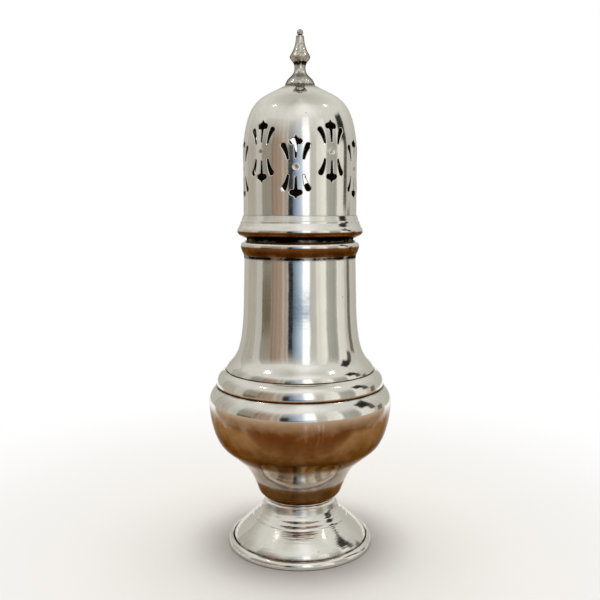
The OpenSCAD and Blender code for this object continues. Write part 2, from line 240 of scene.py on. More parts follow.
def painted_brown_reflection(z, facing):
    """How much brown reflection is painted on the metal: more the more it faces down, less in a band low on
    the bowl.

    facing is the upward part of the surface's direction. The dome is left unpainted."""
    if z > DOME_Z:
        return 0
    left_off = ramp(z - BOWL_Z, *LEFT_OFF_START) * (1 - ramp(z - BOWL_Z, *LEFT_OFF_END))
    tone = (ramp(-facing, BROWN_PAINT_START, BROWN_PAINT_DEEPER) + ramp(-facing, BROWN_PAINT_DEEPER, BROWN_PAINT_DEEPEST)) / 2
    return (1 - BROWN_PAINT_LEFT_OFF * left_off) * tone


# Meshes

def into_scene(name, data):
    thing = bpy.data.objects.new(name, data)
    bpy.context.scene.collection.objects.link(thing)
    return thing


def point_values(mesh, name, values):
    """Keeps one value for each point of a mesh, for its material to use."""
    mesh.attributes.new(name, "FLOAT", "POINT").data.foreach_set("value", values)


class Shell:
    """The points and faces of one piece, as they are added."""

    def __init__(self):
        self.points, self.normals, self.own_dirt_and_shade = [], [], []
        self.faces, self.inside = [], set()
        self.known = {}

    def point(self, place, normal, dirt_and_shade=0):
        self.points.append(place)
        self.normals.append(normal)
        self.own_dirt_and_shade.append(dirt_and_shade)
        return len(self.points) - 1

    def shared_point(self, tag, place, normal, dirt_and_shade=0):
        """A point that is one with any earlier point of the same tag at that place."""
        key = (tag,) + tuple(round(c, 4) for c in place)
        if key not in self.known:
            self.known[key] = self.point(place, normal, dirt_and_shade)
        return self.known[key]

    def face(self, corners, inside=False):
        if inside:
            self.inside.add(len(self.faces))
        self.faces.append(tuple(corners))

    def strip(self, upper, lower, inside=False):
        """Faces between two closed rows of points. A row of one point is a tip."""
        count = max(len(upper), len(lower))
        for k in range(count):
            n = (k + 1) % count
            if len(upper) == 1:
                self.face((upper[0], lower[n], lower[k]), inside)
            elif len(lower) == 1:
                self.face((upper[k], upper[n], lower[0]), inside)
            else:
                self.face((upper[k], upper[n], lower[n], lower[k]), inside)

    def piece(self, name, finish):
        """One smooth mesh in metres. Inside faces take the second material of the finish."""
        mesh = bpy.data.meshes.new(name)
        mesh.from_pydata([(x * MM, y * MM, z * MM) for x, y, z in self.points], [], self.faces)
        for material in finish:
            mesh.materials.append(material)
        for polygon in mesh.polygons:
            polygon.use_smooth = True
            polygon.material_index = 1 if polygon.index in self.inside else 0
        point_values(mesh, "dirt_and_painted_shade", [max(own, joint_dirt_and_shade(math.hypot(x, y), z))
                                       for own, (x, y, z) in zip(self.own_dirt_and_shade, self.points)])
        # painted brown reflection at each point, by how far it faces down
        point_values(mesh, "painted_reflection", [painted_brown_reflection(p[2], n[2])
                                      for p, n in zip(self.points, self.normals)])
        mesh.normals_split_custom_set_from_vertices(self.normals)
        return into_scene(name, mesh)


def round_angles(count):
    return [2 * math.pi * k / count for k in range(count)]


def swung(w, r, z):
    """A radius and a level, swung round the axis by an angle."""
    return (r * math.cos(w), r * math.sin(w), z)


def turned(name, outline, finish, inside_from=None, turns=TURNS):
    """Turns a closed outline round the axis.

    From the point inside_from on, the surface is inside."""
    shell, rings = Shell(), []
    for i, (r, z) in enumerate(outline):
        nr, nz = way_out(outline, i)
        angles = round_angles(turns)
        if r < TINY:
            nr, nz, angles = 0, (1 if nz > 0 else -1), [0]
        rings.append([shell.point(swung(w, r, z), swung(w, nr, nz)) for w in angles])
    for i, low in enumerate(rings):
        high = rings[(i + 1) % len(rings)]
        if len(low) > 1 or len(high) > 1:
            shell.strip(low, high, inside_from is not None and i >= inside_from)
    return shell.piece(name, finish)


# Materials

def linear(code):
    """sRGB hex to linear colour."""
    parts = [int(code[i:i + 2], 16) / 255 for i in (1, 3, 5)]
    return tuple(c / 12.92 if c <= 0.04045 else ((c + 0.055) / 1.055) ** 2.4 for c in parts) + (1,)


WHITE = linear("#FFFFFF")


def add(tree, kind, given=None):
    """Adds one node. It is given settings, constants for its sockets and outputs to link to them."""
    node = tree.nodes.new(kind)
    for key, value in (given or {}).items():
        if isinstance(value, bpy.types.NodeSocket):
            tree.links.new(value, node.inputs[key])
        elif isinstance(key, int) or key in node.inputs:
            node.inputs[key].default_value = value
        else:
            setattr(node, key, value)
    return node


def new_material(name):
    material = bpy.data.materials.new(name)
    material.use_nodes = True
    material.node_tree.nodes.clear()
    return material, material.node_tree


def per_mm(size):
    """Texture scale for a pattern of that size in millimetres."""
    return 1 / (size * MM)


def object_place(tree):
    return add(tree, "ShaderNodeTexCoord").outputs["Object"]


def attribute(tree, name):
    return add(tree, "ShaderNodeAttribute", {"attribute_name": name}).outputs["Fac"]


def noise(tree, place, scale, detail, roughness=0.5):
    return add(tree, "ShaderNodeTexNoise", {
        "Scale": scale, "Detail": detail, "Roughness": roughness, "Vector": place}).outputs["Fac"]


def drawn_noise(tree, place, across, up, detail):
    """Noise drawn out into rings or streaks, by its sizes across and up in millimetres."""
    scale = (per_mm(across), per_mm(across), per_mm(up))
    drawn = add(tree, "ShaderNodeMapping", {"Scale": scale, "Vector": place})
    return noise(tree, drawn.outputs["Vector"], 1, detail)


def ranged(tree, value, low, high, to_low=0, to_high=1):
    """A value moved from one range to another, and held within it."""
    return add(tree, "ShaderNodeMapRange", {
        "From Min": low, "From Max": high, "To Min": to_low, "To Max": to_high,
        "Value": value}).outputs["Result"]


def maths(tree, operation, a, b, clamp=False):
    return add(tree, "ShaderNodeMath", {
        "operation": operation, "use_clamp": clamp, 0: a, 1: b}).outputs["Value"]


def mixed(tree, share, first, second):
    """A colour that goes from the first to the second by share."""
    return add(tree, "ShaderNodeMix", {"data_type": "RGBA", 0: share, 6: first, 7: second}).outputs[2]


def mixed_shader(tree, share, first, second):
    return add(tree, "ShaderNodeMixShader", {0: share, 1: first, 2: second}).outputs["Shader"]


def show(tree, shader):
    add(tree, "ShaderNodeOutputMaterial", {"Surface": shader})


def silver(name, colours, gloss, satin, waves, dents, lines, film, patch=5, painted_edge_shade=0):
    """Silver, by its colours: clean, painted brown as a reflection, painted deeper brown, and dirty or
    painted with shade.

    gloss and satin are the roughness of clean and of dulled metal. waves, dents and lines give
    the size across and the height, in millimetres, of the slow swells, of the small marks of
    use and of the rings round the piece. film is how much of a thin grey bloom lies on the open
    surface, in patches of size patch. The last argument is painted shade: how much darker the
    surface is painted where it is seen along it."""
    ring_long, pit_apart = 8, 6
    bright, warm, deep, dull = (linear(code) for code in colours)
    material, tree = new_material(name)
    place = object_place(tree)
    swell = noise(tree, place, per_mm(waves[0]), 1)
    marks = noise(tree, place, per_mm(dents[0]), 3)
    rings = drawn_noise(tree, place, ring_long, lines[0], 3)
    # Dirt and painted shade in the joints, bloom in patches and pinprick pits, about one in 6 mm square
    patches = noise(tree, place, per_mm(patch), 5, roughness=0.6)
    joint = maths(tree, "MULTIPLY", attribute(tree, "dirt_and_painted_shade"), ranged(tree, patches, 0.35, 0.6, 0.35))
    bloom = ranged(tree, patches, 0.35, 0.75, 0, film)
    cells = add(tree, "ShaderNodeTexVoronoi", {"Scale": per_mm(pit_apart), "Vector": place})
    pits = ranged(tree, cells.outputs["Distance"], 0.02, 0.05, 0.7, 0)
    cover = maths(tree, "MAXIMUM", joint, bloom)
    cover = maths(tree, "MAXIMUM", cover, pits, clamp=True)
    if painted_edge_shade:
        slant = add(tree, "ShaderNodeLayerWeight", {"Blend": 0.5}).outputs["Facing"]
        cover = maths(tree, "MAXIMUM", cover, ranged(tree, slant, 0.2, 0.75, 0, painted_edge_shade), clamp=True)
    # The painted brown reflection goes from bright through a warm brown to the deep one, a little unevenly
    uneven = ranged(tree, patches, 0.3, 0.65, 0.72, 1.1)
    tone = maths(tree, "MULTIPLY", attribute(tree, "painted_reflection"), uneven)
    painted_brown = mixed(tree, ranged(tree, tone, 0, 0.5), bright, warm)
    painted_brown = mixed(tree, ranged(tree, tone, 0.5, 1), painted_brown, deep)
    colour = mixed(tree, cover, painted_brown, dull)
    polish = ranged(tree, rings, 0.2, 0.8, gloss * 0.7, gloss * 1.4)
    rough = maths(tree, "ADD", polish, maths(tree, "MULTIPLY", cover, satin - gloss), clamp=True)
    relief = {}
    for pattern, height in ((swell, waves[1]), (marks, dents[1]), (rings, lines[1])):
        bump = add(tree, "ShaderNodeBump", {
            "Strength": 1, "Distance": height * MM, "Height": pattern, **relief})
        relief = {"Normal": bump.outputs["Normal"]}
    # Seen along the surface, metal painted brown or dark stays dark instead of turning white
    edge = mixed(tree, 0.6, WHITE, colour)
    metal = add(tree, "ShaderNodeBsdfPrincipled", {
        "Metallic": 1, "Base Color": colour, "Specular Tint": edge, "Roughness": rough, **relief})
    show(tree, metal.outputs["BSDF"])
    return material


# Colours: clean, painted brown reflection, deeper painted brown reflection, dirt and painted shade
# Sterling silver, spun over a wooden former and polished: a white mirror with a slow wave in it.
# Its polishing lines are finer than 0.05 mm, drawn 0.6 mm apart so that they show
SPUN_SILVER = silver(
    "polished_spun_silver", ("#F3F1EC", "#967048", "#6E4720", "#241B11"), gloss=0.09, satin=0.42,
    waves=(10, 0.09), dents=(2.4, 0.014), lines=(0.6, 0.004), film=0.06)
# Sterling silver, turned mouldings: a mirror crossed by the tool's fine rings.
# They are about 0.1 mm apart, drawn every 0.5 mm so that they show
MOULDED_SILVER = silver(
    "turned_moulding_silver", ("#F3F1EC", "#8E653A", "#5A3818", "#1E160D"), gloss=0.1, satin=0.42,
    waves=(8, 0.08), dents=(2.4, 0.012), lines=(0.5, 0.01), film=0.05)
# Sterling silver, the spun foot: deeper rings of the tool, which draw a lamp out into a streak
FOOT_SILVER = silver(
    "spun_foot_silver", ("#F3F1EC", "#967048", "#6E4720", "#1E160D"), gloss=0.1, satin=0.42,
    waves=(8, 0.06), dents=(2.4, 0.012), lines=(0.45, 0.035), film=0.05)
# Sterling silver, left as spun where nobody polishes: grey-brown and satin
INSIDE_SILVER = silver(
    "unpolished_inner_silver", ("#5A5246", "#4A4034", "#3A3026", "#2A2018"), gloss=0.42, satin=0.6,
    waves=(9, 0.05), dents=(2.4, 0.01), lines=(0.8, 0.01), film=0.4)
# Sterling silver, drawn tube rubbed by the sliding cover: satin, with rings of wear
WORN_SILVER = silver(
    "rubbed_tube_silver", ("#B4AEA2", "#8A7E6E", "#4A3E30", "#100B07"), gloss=0.2, satin=0.5,
    waves=(6, 0.03), dents=(2, 0.01), lines=(0.6, 0.012), film=0.35)
# Sterling silver, sand cast and hardly polished: a 0.7 mm grain whose hollows hold dark tarnish,
# and painted shade that darkens it where the surface is seen along its length
CAST_SILVER = silver(
    "cast_tarnished_silver", ("#F3F0E8", "#A09480", "#5E523E", "#2A231A"), gloss=0.2, satin=0.42,
    waves=(4, 0.05), dents=(0.7, 0.08), lines=(0.7, 0.05), film=0.85, patch=0.9, painted_edge_shade=0.85)


def turned_brass():
    """Brass rod, cut on a lathe: yellow, with fine rings of the tool."""
    ring_long, ring_apart, ring_deep = 4, 0.2, 0.02
    material, tree = new_material("turned_brass")
    tool = drawn_noise(tree, object_place(tree), ring_long, ring_apart, 2)
    lined = add(tree, "ShaderNodeBump", {"Strength": 1, "Distance": ring_deep * MM, "Height": tool})
    metal = add(tree, "ShaderNodeBsdfPrincipled", {
        "Metallic": 1, "Base Color": mixed(tree, tool, linear("#C9A85C"), linear("#8A6A32")),
        "Roughness": ranged(tree, tool, 0, 1, 0.22, 0.45), "Normal": lined.outputs["Normal"]})
    show(tree, metal.outputs["BSDF"])
    return material


TURNED_BRASS = turned_brass()
SHEET_FINISH = (SPUN_SILVER, INSIDE_SILVER)
FOOT_FINISH = (FOOT_SILVER, INSIDE_SILVER)
MOULDING_FINISH = (MOULDED_SILVER,)
TUBE_FINISH = (WORN_SILVER,)
CAST_FINISH = (CAST_SILVER,)


def moulding(name, outline, base_z, corner, step, finish=MOULDING_FINISH, turns=TURNS):
    """Turns a solid moulding with broken corners. The levels of its outline count from base_z."""
    outline = [(r, base_z + z) for r, z in outline]
    return turned(name, filled(eased(outline, corner), step, closed=True), finish, turns=turns)


# Foot, waist ring and bowl

def make_foot():
    """Spun foot: a hollow upper part rippled by the tool, a small turned step, a plain lower slope."""
    step_r, step_steep, step_deep = 17.4, 16, 0.1
    ripple_apart, ripple_high = 1.9, 0.016
    slope = curve((FOOT_R, FOOT_RIM_Z - 0.1), (FOOT_R - 2, FOOT_RIM_Z + 4.3),
                  (WAIST_R + 0.3, WAIST_Z - 5), (WAIST_R, WAIST_Z - 0.7), 40)
    inner = inset([(FOOT_R, FLOOR_Z)] + slope + [(WAIST_R, WAIST_Z)])
    slope = filled(slope, 0.15)
    turn = next(i for i, p in enumerate(slope) if p[0] < step_r)
    slope = slope[:turn] + rippled(slope[turn:], ripple_apart, ripple_high, calm=1.5)
    slope = [along(p, square_to(slope, i), -step_deep / (1 + math.exp((step_r - p[0]) * step_steep)))
             for i, p in enumerate(slope)]
    edge = filled([(FOOT_R, FLOOR_Z), slope[0]], OUTER_STEP)[:-1]
    outer = edge + slope + [(WAIST_R, WAIST_Z)]
    inner = filled(inner[::-1], INNER_STEP)
    return turned("spun_foot", outer + inner, FOOT_FINISH, len(outer))


def make_foot_rim():
    """Rounded wire round the foot's edge, flat underneath."""
    side_z, wide = 0.8, FOOT_RIM_R - FOOT_R
    outline = [(FOOT_R, FLOOR_Z), (FOOT_RIM_R - 0.15, FLOOR_Z), (FOOT_RIM_R, 0.2)]
    outline += curve((FOOT_RIM_R, side_z), (FOOT_RIM_R, side_z + 0.5 * (FOOT_RIM_Z - side_z)),
                     (FOOT_R + 0.6 * wide, FOOT_RIM_Z - 0.1), (FOOT_R + 0.3, FOOT_RIM_Z))
    outline += [(FOOT_R, FOOT_RIM_Z - 0.2)]
    return moulding("foot_rim_wire", outline, 0, 0.15, 0.4)


def make_waist_ring():
    h = BOWL_Z - WAIST_Z
    out_r, in_r = WAIST_R + 1.33 * WAIST_PROUD, WAIST_R - SHEET - 1
    outline = [(in_r, WAIST_Z)]
    outline += curve((WAIST_R, WAIST_Z), (out_r, WAIST_Z + 0.2 * h),
                     (out_r, WAIST_Z + 0.8 * h), (WAIST_R, BOWL_Z))
    outline += [(in_r, BOWL_Z)]
    return turned("waist_bead", filled(outline, 0.3, closed=True), MOULDING_FINISH)


def bowl_line():
    """Outer line of the bowl: flat underside, rounded base, hollow then full side, turned-in edge."""
    lean, base_r = 19, 3.3
    base = (15.4, BOWL_Z + base_r * (1 - way(lean)[1]))
    turn = (28.05, BOWL_Z + 18.8)
    belly = (BOWL_R, BOWL_Z + 35.8)
    edge = (BOWL_EDGE_R, SHOULDER_Z)
    slope = unit((1.1, 1))
    low, high, top = turn[1] - base[1], belly[1] - turn[1], edge[1] - belly[1]
    line = [(0, BOWL_Z)]
    line += arc(along(base, way(180 - lean), base_r), base_r, -90, -lean)
    line += curve(base, along(base, way(90 - lean), 0.65 * low),
                  along(turn, slope, -0.55 * low), turn, 36)[1:]
    line += curve(turn, along(turn, slope, 0.32 * high), (belly[0], belly[1] - 0.24 * high), belly, 40)[1:]
    line += curve(belly, (belly[0], belly[1] + 0.4 * top),
                  along(edge, (1, -1), 0.42 * (BOWL_R - BOWL_EDGE_R)), edge, 20)[1:]
    return line


def make_bowl():
    line = bowl_line()
    edge_out = square_to(line, len(line) - 1)[0]
    outer = filled(line, OUTER_STEP)
    inner = inset(line)[:-1] + [(line[-1][0] - SHEET / edge_out, SHOULDER_Z)]
    inner[0] = (0, BOWL_Z + SHEET)
    inner = filled(inner[::-1], INNER_STEP)
    return turned("spun_bowl", outer + inner, SHEET_FINISH, len(outer))


def make_shoulder_ring():
    low, top = BOWL_EDGE_R - 0.1, NECK_FOOT_R + 0.25
    h = NECK_Z - SHOULDER_Z
    outline = [(low - 1.3, 0), (low, 0)]
    outline += curve((low + 0.1, 0.7), (low, 0.55 * h), (top + 0.6 * (low - top), h - 0.8), (top, h))
    outline += [(NECK_FOOT_R - 1.4, h)]
    return moulding("shoulder_moulding", outline, SHOULDER_Z, 0.2, 0.5)


# Neck and what is fixed to it

def make_neck():
    """Spun neck: spread at its lower edge, then slightly tapered, straight under the mouth."""
    straight_z, flare_h = NECK_RING_Z - 2, 23.75
    bend = (20.45, NECK_Z + flare_h)
    taper = unit((NECK_R - bend[0], straight_z - bend[1]))
    line = curve((NECK_FOOT_R, NECK_Z), (NECK_FOOT_R - 1.1, NECK_Z + 0.23 * flare_h),
                 along(bend, taper, -0.97 * flare_h), bend, 48)
    line += [(NECK_R, straight_z), (NECK_R, MOUTH_Z)]
    cut = (line[0][0] - SHEET / square_to(line, 0)[0], NECK_Z)
    outer = filled(line, 0.35)
    inner = filled(inset(line)[:0:-1] + [cut], INNER_STEP)
    return turned("spun_neck", outer + inner, SHEET_FINISH, len(outer))


def make_neck_ring():
    """Moulding round the mouth: small fillet, full sloping band, bead that rounds over inward."""
    h = MOUTH_Z - NECK_RING_Z
    bead_r, low_lean, high_lean = 1.7, 30, 6
    bead_in = NECK_R + bead_r - NECK_RING_R
    top_turn = math.degrees(math.acos(bead_in / bead_r))
    bead = (NECK_R - bead_in, h - bead_r * way(top_turn)[1])
    start, end = (NECK_R + 0.15, 0.3), along(bead, way(-high_lean), bead_r)
    pull = 0.35 * math.dist(start, end)
    outline = [(NECK_R, 0), (start[0], 0)]
    outline += curve(start, along(start, way(90 - low_lean), pull),
                     along(end, way(90 - high_lean), -pull), end)
    outline += arc(bead, bead_r, -high_lean, top_turn)[1:]
    return moulding("neck_moulding", outline, NECK_RING_Z, 0.1, 0.25)


def tube(out_r, in_r, low, high):
    """Outline of a plain tube with broken edges, outside first."""
    line = [(out_r, low), (out_r, high), (in_r, high), (in_r, low)]
    return filled(eased(line, 0.15), OUTER_STEP, closed=True)


def make_neck_bezel():
    return turned("neck_bezel_tube", tube(BEZEL_R, BORE_R, BEZEL_Z, SEAT_Z), TUBE_FINISH)


# Cover

def make_cover_sleeve():
    return turned("cover_sleeve_tube", tube(SLEEVE_R, SLEEVE_R - SLEEVE_WALL, SLEEVE_Z, LEDGE_Z), TUBE_FINISH)


def make_cover_rim():
    """Moulded rim: flat seat, full rounded nose, rippled slope, small step and sloping lip."""
    h, ledge = DOME_Z - SEAT_Z, LEDGE_Z - SEAT_Z
    nose_r, nose_h, lip_t, lip_h, lip_spread, step_wide = 1.8, 2.6, 0.25, 1.8, 0.55, 0.2
    under, tilt, steep, flat = 60, 30, 8, 15
    ripple_apart, ripple_high = 1.2, 0.01
    nose = (RIM_R - nose_r, nose_h)
    lip_r, lip_z = DOME_R + lip_t, h - lip_h
    seat_end = (BEZEL_R + 0.2, 0)
    nose_from, nose_to = along(nose, way(-under), nose_r), along(nose, way(tilt), nose_r)
    step = (lip_r + lip_spread + step_wide, lip_z - 0.1)
    under_long = math.dist(nose_from, seat_end)
    pull = 0.35 * (step[1] - nose_to[1])
    slope = curve(nose_to, along(nose_to, way(90 + tilt), pull), along(step, way(steep - 90), pull), step)
    outline = [(BORE_R, 0)]
    outline += curve(seat_end, along(seat_end, way(flat), 0.2 * under_long),
                     along(nose_from, way(90 - under), -0.3 * under_long), nose_from)
    outline += arc(nose, nose_r, -under, tilt)[1:-1]
    outline += rippled(filled(slope, 0.12), ripple_apart, ripple_high, calm=0.8)
    outline += [(lip_r + lip_spread, lip_z), (lip_r, h), (DOME_R, h), (DOME_R, ledge), (BORE_R, ledge)]
    return moulding("cover_rim_moulding", outline, SEAT_Z, 0.12, 0.25)


def dome_line():
    """Outer line of the dome above its straight wall, from the wall's top to the crown."""
    turn_h = 14.4
    turn, crown = (16.85, WALL_TOP_Z + turn_h), (CROWN_R, CROWN_Z)
    slope, flat = unit((-0.7, 1)), unit((-2, 1))
    rise = CROWN_Z - turn[1]
    line = curve((DOME_R, WALL_TOP_Z), (DOME_R, WALL_TOP_Z + 0.21 * turn_h),
                 along(turn, slope, -0.29 * turn_h), turn, 40)
    line += curve(turn, along(turn, slope, 0.53 * rise), along(crown, flat, -1.17 * rise), crown, 40)[1:]
    return line


DOME_LINE = dome_line()
# The pierced band, its fifths with two motifs each, and the angle at which the first fifth starts
BAND_LOW, BAND_HIGH = LEDGE_Z, WALL_TOP_Z + 11
SECTORS = 5
SECTOR = 2 * math.pi / SECTORS
FIRST = -math.pi / 2 - SECTOR / 4
# Middles of the two motifs: turn from the lower one, and level
MOTIFS = [(0, DOME_Z + 16.0), (SECTOR / 2, DOME_Z + 21.3)]
# Round burnished at the edges of the openings
EDGE_ROUND = 0.26
# Dimple punched in the middle of each motif, and its raised lip: height, then place, width and end
# in shares of the dimple's radius
DIMPLE_R, DIMPLE_DEEP = 1.0, 0.22
LIP_HIGH, LIP_AT, LIP_WIDE, LIP_END = 0.05, 1.06, 0.12, 1.4
# Rings of points round a dimple, in shares of its radius, and the points in each
DIMPLE_RINGS = ((0.25, 10), (0.5, 16), (0.72, 24), (0.86, 30), (0.95, 36), (1.03, 36), (1.12, 36), (1.3, 30))
# Rows of points down the wall of an opening: how far outside it, how deep, how much the surface
# leans into it and how dark it is, partly dirt and partly painted shade inside the opening. The last row is a
# sheet thickness deep
WALL_ROWS = ((EDGE_ROUND, 0, 0.25, 0), (0.3 * EDGE_ROUND, 0.35 * EDGE_ROUND, 1, 0.1),
             (0, EDGE_ROUND, 4, 1), (0, None, 30, MOST_DIRT_AND_SHADE))


def dome_at(z):
    """Radius of the dome at a level, and its outward direction there."""
    if z <= WALL_TOP_Z:
        return DOME_R, (1, 0)
    for i in range(len(DOME_LINE) - 1):
        a, b = DOME_LINE[i], DOME_LINE[i + 1]
        if z <= b[1]:
            t = (z - a[1]) / (b[1] - a[1])
            na, nb = square_to(DOME_LINE, i), square_to(DOME_LINE, i + 1)
            n = unit((na[0] + (nb[0] - na[0]) * t, na[1] + (nb[1] - na[1]) * t))
            return a[0] + (b[0] - a[0]) * t, n
    return CROWN_R, square_to(DOME_LINE, len(DOME_LINE) - 1)


def sheet_depth(z):
    """Thickness of the dome's sheet at a level, measured towards the axis."""
    return SHEET / dome_at(z)[1][0]


def drop_opening():
    """One drop of the pierced motif: round head and a curved, narrowing tail."""
    head, bend, end = (4.1, 7.0), (2.975, 5.11), (2.6, 2.5)
    head_r, end_r, n = 0.9, 0.3, 12
    middle = bow(head, bend, end, n)
    side = [square_to(middle, i) for i in range(n + 1)]
    width = spread(head_r, end_r, n)
    turn = math.degrees(math.atan2(side[0][1], side[0][0]))
    loop = [along(middle[i], side[i], width[i]) for i in range(n, 0, -1)]
    loop += arc(head, head_r, turn, turn - 180, 14)
    loop += [along(middle[i], side[i], -width[i]) for i in range(1, n + 1)]
    return eased(loop, 0.2, axis=False)


def spade_opening():
    """The motif's spade: stem, two round lobes and a tip."""
    half = [(0.25, 3.0), (0.5, 7.15)] + arc((1.25, 8.3), 0.9, -115, 60, 12) + [(0.55, 9.55)]
    return eased(half + [(0, 10.3)] + [(-x, y) for x, y in reversed(half)], 0.15, axis=False)


def area(loop):
    return 0.5 * sum(a[0] * b[1] - b[0] * a[1] for a, b in zip(loop, loop[1:] + loop[:1]))


def motif_openings():
    """All openings of one motif, each a loop running the same way round."""
    loops = []
    for up in (1, -1):
        for shape, sides in ((spade_opening(), (1,)), (drop_opening(), (1, -1))):
            for side in sides:
                loop = [(x * side, y * up) for x, y in shape]
                loops.append(loop if area(loop) > 0 else loop[::-1])
    return loops


def widened(loop, by):
    """A loop with every point moved out, square to the loop, by a small distance."""
    return [along(p, way_out(loop, i), by) for i, p in enumerate(loop)]


def within(point, loop):
    x, y = point
    hit = False
    for a, b in zip(loop, loop[1:] + loop[:1]):
        if (a[1] > y) != (b[1] > y) and x < a[0] + (y - a[1]) / (b[1] - a[1]) * (b[0] - a[0]):
            hit = not hit
    return hit


def motif_turn(middle, x, r):
    """Angle, within its fifth, of a point x to the right of a motif's middle, at radius r."""
    return SECTOR / 4 + middle[0] + math.asin(x / r)


def flat_place(middle, x, y):
    """Where a motif's point lies on the flat cut: length along the wall, and level."""
    z = middle[1] + y
    return (motif_turn(middle, x, dome_at(z)[0]) * DOME_R, z)


def cut_band(holes):
    """Cuts a fifth of the pierced band flat.

    Gives its points, its triangles, and the opening and place of each point on an opening's rim."""
    columns, rows, hole_clear, dimple_clear = TURNS // SECTORS, 48, 0.3, 1.45 * DIMPLE_R
    rims = [[flat_place(middle, x, y) for x, y in widened(loop, EDGE_ROUND)] for middle, loop in holes]
    dimples = [flat_place(middle, 0, 0) for middle in MOTIFS]

    def plain(point):
        near = [math.dist(point, dimple) < dimple_clear for dimple in dimples]
        near += [within(point, rim) or min(math.dist(point, p) for p in rim) < hole_clear for rim in rims]
        return not any(near)

    flat = []
    for j, z in enumerate(spread(BAND_LOW, BAND_HIGH, rows)):
        for i in range(columns + 1):
            point = (i * SECTOR / columns * DOME_R, z)
            if i in (0, columns) or j in (0, rows) or plain(point):
                flat.append(point)
    for x, z in dimples:
        flat.append((x, z))
        for ring, count in DIMPLE_RINGS:
            flat += arc((x, z), DIMPLE_R * ring, 0, 360, count)[:-1]
    edges, on_rim = [], {}
    for hole, rim in enumerate(rims):
        start, count = len(flat), len(rim)
        flat += rim
        edges += [(start + k, start + (k + 1) % count) for k in range(count)]
        on_rim.update({start + k: (hole, k) for k in range(count)})
    points, _, triangles, sources = delaunay_2d_cdt([Vector(p) for p in flat], edges, [], 0, TINY)[:4]
    kept = []
    for triangle in triangles:
        middle = [sum(points[v][m] for v in triangle) / 3 for m in (0, 1)]
        if not any(within(middle, rim) for rim in rims):
            kept.append(triangle)
    rim_places = [next((on_rim[s] for s in came if s in on_rim), None) for came in sources]
    return points, kept, rim_places


def dent(x, z):
    """Depth of the dimple at a flat place, less the height of its raised lip."""
    for middle in MOTIFS:
        d = math.dist((x, z), flat_place(middle, 0, 0)) / DIMPLE_R
        if d < LIP_END:
            return DIMPLE_DEEP * max(0, 1 - d * d) - LIP_HIGH * math.exp(-((d - LIP_AT) / LIP_WIDE) ** 2)
    return 0


def wall_point(w, z, depth, x_way=0, y_way=0, out=1):
    """A point of the wall, some depth below the outer skin, with a chosen lean of its normal."""
    r, (nr, nz) = dome_at(z)
    sideways = Vector((-x_way * math.sin(w), x_way * math.cos(w), y_way))
    normal = Vector(swung(w, out * nr, out * nz)) + sideways
    return swung(w, r - depth, z), normal.normalized()


def add_outer_skin(shell, points, triangles, start):
    """A fifth of the band's outer skin, pressed in and a little dirty where the dimples are."""
    nearby, dimple_dirt = 0.02, 0.6
    row = []
    for x, z in points:
        here = dent(x, z)
        lean = [(there - here) / nearby for there in (dent(x + nearby, z), dent(x, z + nearby))]
        place, normal = wall_point(start + x / DOME_R, z, here, *lean)
        row.append(shell.shared_point("out", place, normal, dimple_dirt * max(0, here) / DIMPLE_DEEP))
    for triangle in triangles:
        shell.face(row[v] for v in triangle)


def add_inner_skin(shell, points, triangles, rim_places, holes, start):
    """A fifth of the band's inner skin: the same cut, a sheet thickness further in."""
    row = []
    for (x, z), on_rim in zip(points, rim_places):
        w = start + x / DOME_R
        if on_rim is not None:
            middle, loop = holes[on_rim[0]]
            x, y = loop[on_rim[1]]
            z = middle[1] + y
            w = start + motif_turn(middle, x, dome_at(z)[0] - SHEET)
        row.append(shell.shared_point("in", *wall_point(w, z, sheet_depth(z), out=-1)))
    for triangle in triangles:
        shell.face((row[v] for v in reversed(triangle)), inside=True)


def add_opening_wall(shell, middle, loop, start):
    """Wall of one opening, dark where the saw left it and painted darker as shade inside the opening, with a
    narrow round burnished at the edge.
    """
    rows = []
    for wider, depth, lean, dirt_and_shade in WALL_ROWS:
        row = []
        for k, (x, y) in enumerate(widened(loop, wider)):
            z = middle[1] + y
            deep = sheet_depth(z) if depth is None else depth
            w = start + motif_turn(middle, x, dome_at(z)[0] - deep)
            x_out, y_out = way_out(loop, k)
            row.append(shell.point(*wall_point(w, z, deep, -lean * x_out, -lean * y_out), dirt_and_shade))
        rows.append(row)
    for upper, lower in zip(rows, rows[1:]):
        shell.strip(upper, lower)


def plain_lines():
    """Lines of the dome's plain parts: above the band, inside that, and the lower edge.

    Each point has a tag, a place and a direction. Only neighbours with the same tag are joined."""
    band_r, band_out = dome_at(BAND_HIGH)
    under_z = CROWN_Z - SHEET
    line = [(band_r, BAND_HIGH)] + [p for p in DOME_LINE if p[1] > BAND_HIGH + 0.05]
    line = filled(line, OUTER_STEP)
    above = [("out", p, square_to(line, i)) for i, p in enumerate(line)]
    above[0] = ("out", line[0], band_out)
    inner = [along(p, n, -SHEET) for _, p, n in above]
    inner[0] = (band_r - sheet_depth(BAND_HIGH), BAND_HIGH)
    inner = [(STUD_HOLE_R, under_z)] + [(r, min(z, under_z)) for r, z in inner[::-1]]
    inside = [("in", p, square_to(inner, i)) for i, p in enumerate(inner)]
    crown_out = above[-1][2][0]
    above += [("out", (CROWN_R - 0.15, CROWN_Z), unit((0.3 * crown_out, 1))),
              ("out", (CROWN_R - 0.4, CROWN_Z), (0, 1)), ("out", (STUD_HOLE_R, CROWN_Z), (0, 1)),
              ("rim", (STUD_HOLE_R, CROWN_Z), (-1, 0)), ("rim", (STUD_HOLE_R, under_z), (-1, 0))]
    edge = [("edge", (r, BAND_LOW), (0, -1)) for r in (DOME_R - SHEET, DOME_R)]
    return above, inside, edge


